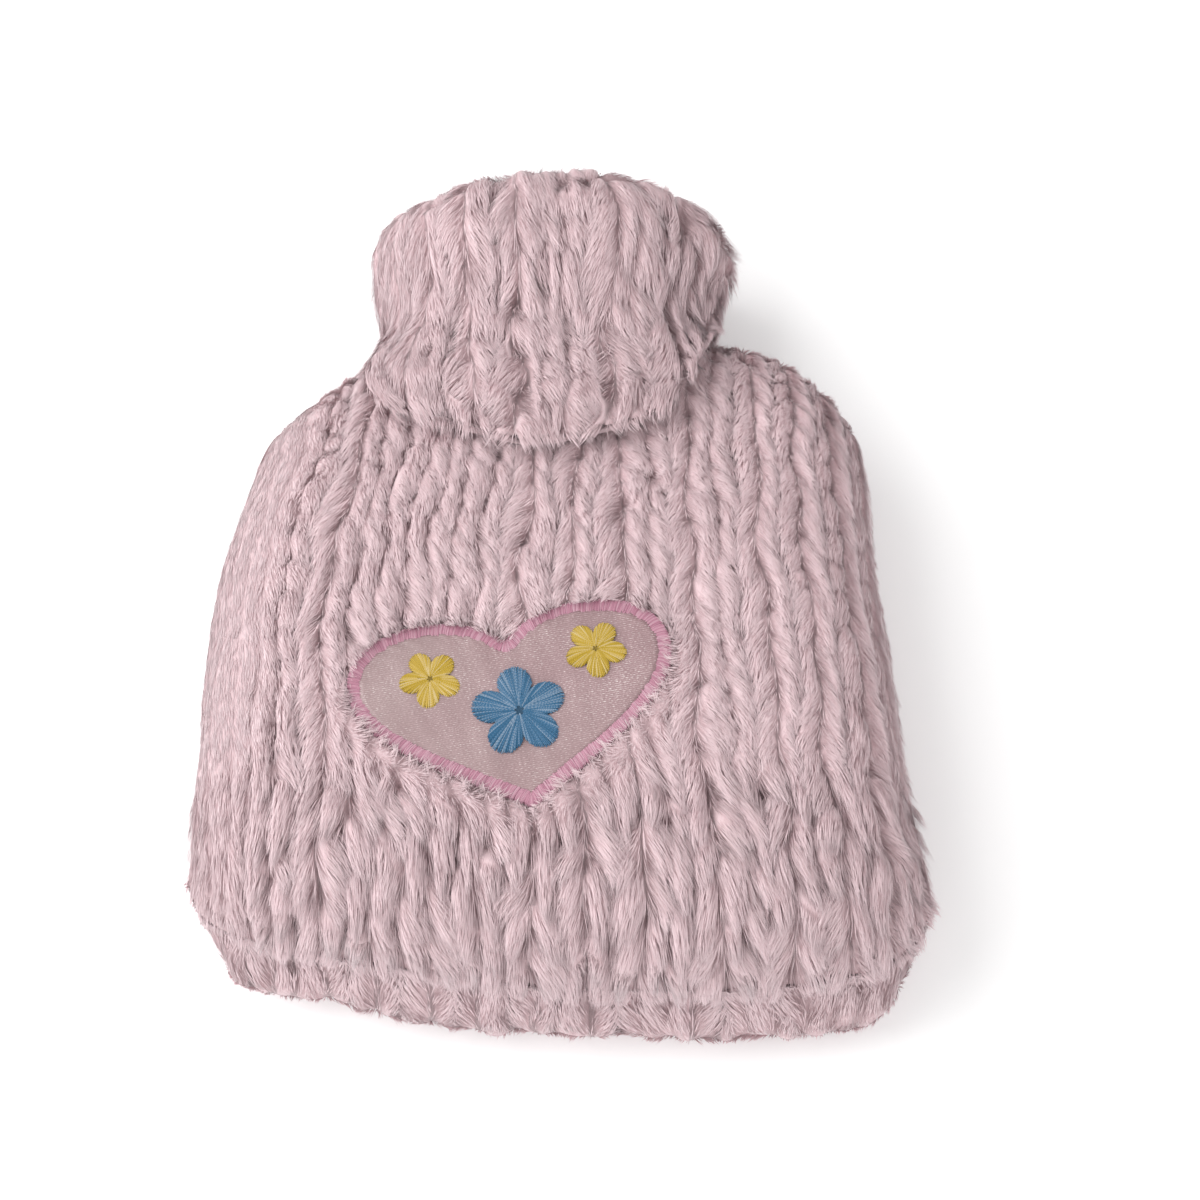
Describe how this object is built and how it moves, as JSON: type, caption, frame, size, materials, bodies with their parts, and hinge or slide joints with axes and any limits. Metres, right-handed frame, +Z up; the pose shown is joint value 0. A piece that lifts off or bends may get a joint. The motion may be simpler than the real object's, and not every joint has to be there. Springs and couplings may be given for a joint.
{
  "type": "hot water bottle cover",
  "caption": "Long-pile plush cover for a small hot water bottle: a ribbed pouch with a turned-down collar and a heart-shaped satin patch on the front.",
  "frame": {"origin": "on the flat base of the back panel, under the middle of the pouch", "axes": "+Z up through the front; +Y along the cover from its bottom hem to the collar's mouth; +X across it, to the right as seen from above"},
  "size_m": [0.1919, 0.24, 0.0599],
  "materials": {
    "plush": "long pink pile in wavy ribs",
    "satin": "soft sheen",
    "border_thread": "satin stitch",
    "blue_thread": "satin stitch",
    "yellow_thread": "satin stitch"
  },
  "bodies": {
    "root": {"front_panel": "plush", "back_panel": "plush", "collar": "plush", "heart_patch": "satin", "heart_border": "border_thread", "flower_blue": "blue_thread", "flower_yellow_left": "yellow_thread", "flower_yellow_right": "yellow_thread"}
  },
  "joints": []
}
